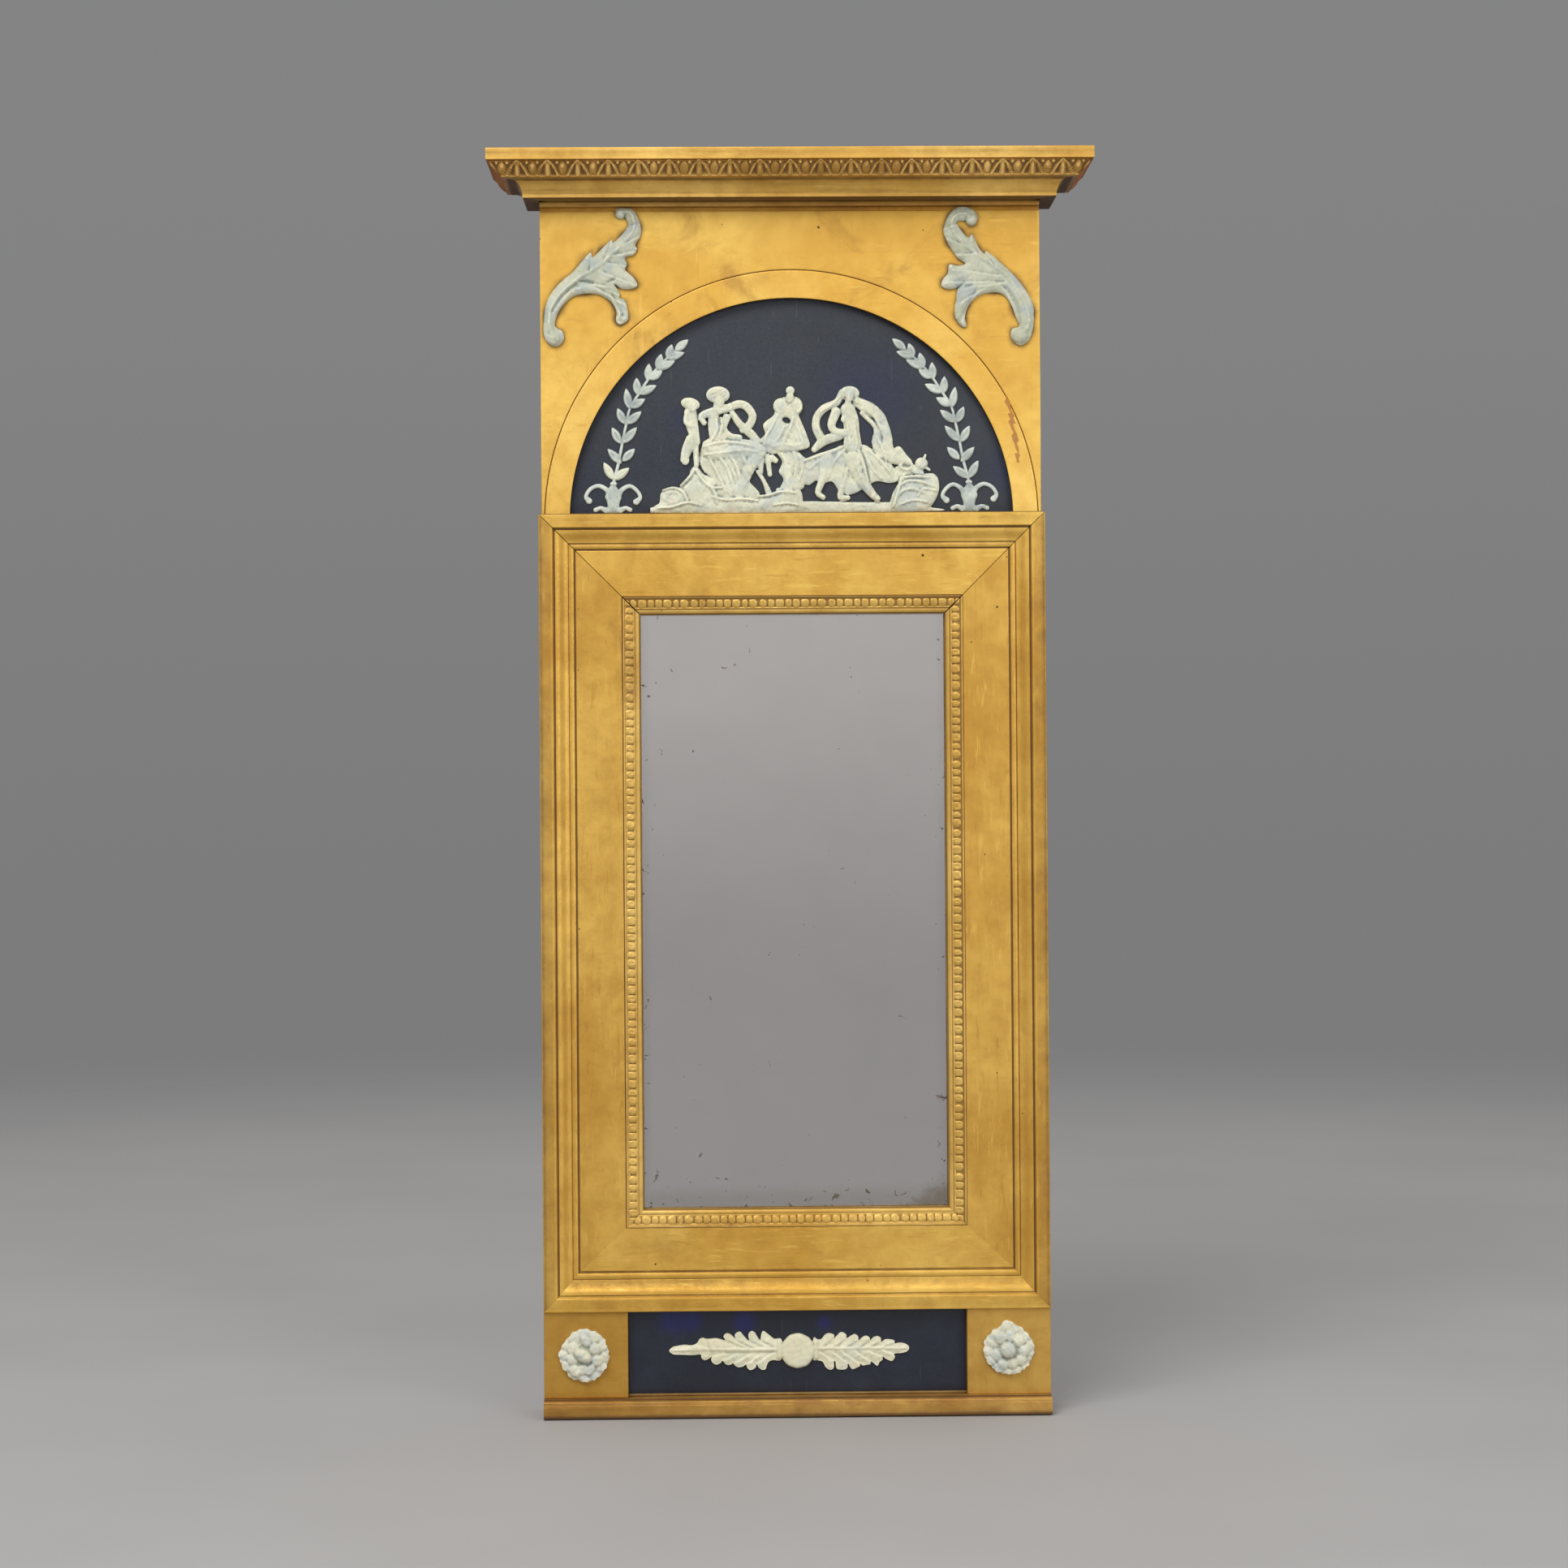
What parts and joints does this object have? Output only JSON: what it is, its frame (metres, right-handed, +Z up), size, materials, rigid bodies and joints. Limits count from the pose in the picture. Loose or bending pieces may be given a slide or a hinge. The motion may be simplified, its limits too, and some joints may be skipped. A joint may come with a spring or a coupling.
{
  "type": "wall mirror",
  "caption": "Tall gilded wall mirror: projecting cornice, arched blue field with reliefs, mitred frame with a glass, base with a blue panel, hanging ring.",
  "frame": {"origin": "foot of the back, on the centre line, in the plane of the wall", "axes": "+Z up along the mirror, the front faces -Y, +Y points into the wall, +X to the viewer's right"},
  "size_m": [0.529, 0.095, 1.11],
  "materials": {
    "gilded_wood": "worn leaf gilding over reddish bole on gesso",
    "bare_pine": "old planed pine, never painted",
    "blue_ground": "dark blue distemper, slightly glossy where worn",
    "cream_composition": "cast composition, cream paint with bluish shadows",
    "spandrel_composition": "cast composition, grey-green white paint",
    "laurel_composition": "cast composition, grey-blue paint",
    "mirror_glass": "old clear plate glass",
    "silver_backing": "tin amalgam, foxed at the edges",
    "iron": "forged iron, dark brown"
  },
  "bodies": {
    "mirror": {"acanthus_left": "spandrel_composition", "acanthus_right": "spandrel_composition", "archivolt": "gilded_wood", "back_nails": "iron", "backboard_lower": "bare_pine", "backboard_upper": "bare_pine", "base_block_left": "gilded_wood", "base_block_right": "gilded_wood", "base_ledge": "gilded_wood", "base_panel": "blue_ground", "carcass_bottom_rail": "bare_pine", "carcass_left_stile": "bare_pine", "carcass_lower_rail": "bare_pine", "carcass_middle_rail": "bare_pine", "carcass_right_stile": "bare_pine", "carcass_top_rail": "bare_pine", "corner_keys": "bare_pine", "cornice_core": "bare_pine", "cornice_front": "gilded_wood", "cornice_leaf_front": "gilded_wood", "cornice_leaf_left_return": "gilded_wood", "cornice_leaf_right_return": "gilded_wood", "cornice_left_return": "gilded_wood", "cornice_neck_fillet": "gilded_wood", "cornice_right_return": "gilded_wood", "cornice_top_board": "bare_pine", "figure_relief": "cream_composition", "frame_bottom": "gilded_wood", "frame_left": "gilded_wood", "frame_right": "gilded_wood", "frame_top": "gilded_wood", "glazing_blocks": "bare_pine", "hanger_plate": "iron", "hanger_screws": "iron", "hanger_staple": "iron", "laurel_spray_left": "laurel_composition", "laurel_spray_right": "laurel_composition", "mirror_backboard": "bare_pine", "mirror_plate": "mirror_glass", "palmette_bar": "cream_composition", "plinth_moulding": "gilded_wood", "rosette_left": "cream_composition", "rosette_right": "cream_composition", "sight_strip_bottom": "gilded_wood", "sight_strip_left": "gilded_wood", "sight_strip_right": "gilded_wood", "sight_strip_top": "gilded_wood", "silvering": "silver_backing", "tympanum_panel": "blue_ground", "upper_panel": "gilded_wood"},
    "ring": {"hanger_ring": "iron"}
  },
  "joints": [
    {"name": "ring_swing", "type": "hinge", "parent": "mirror", "child": "ring", "pos_m": [0, -0.0094, 1.0215], "axis": [1, 0, 0], "range_deg": [0, 180]}
  ]
}
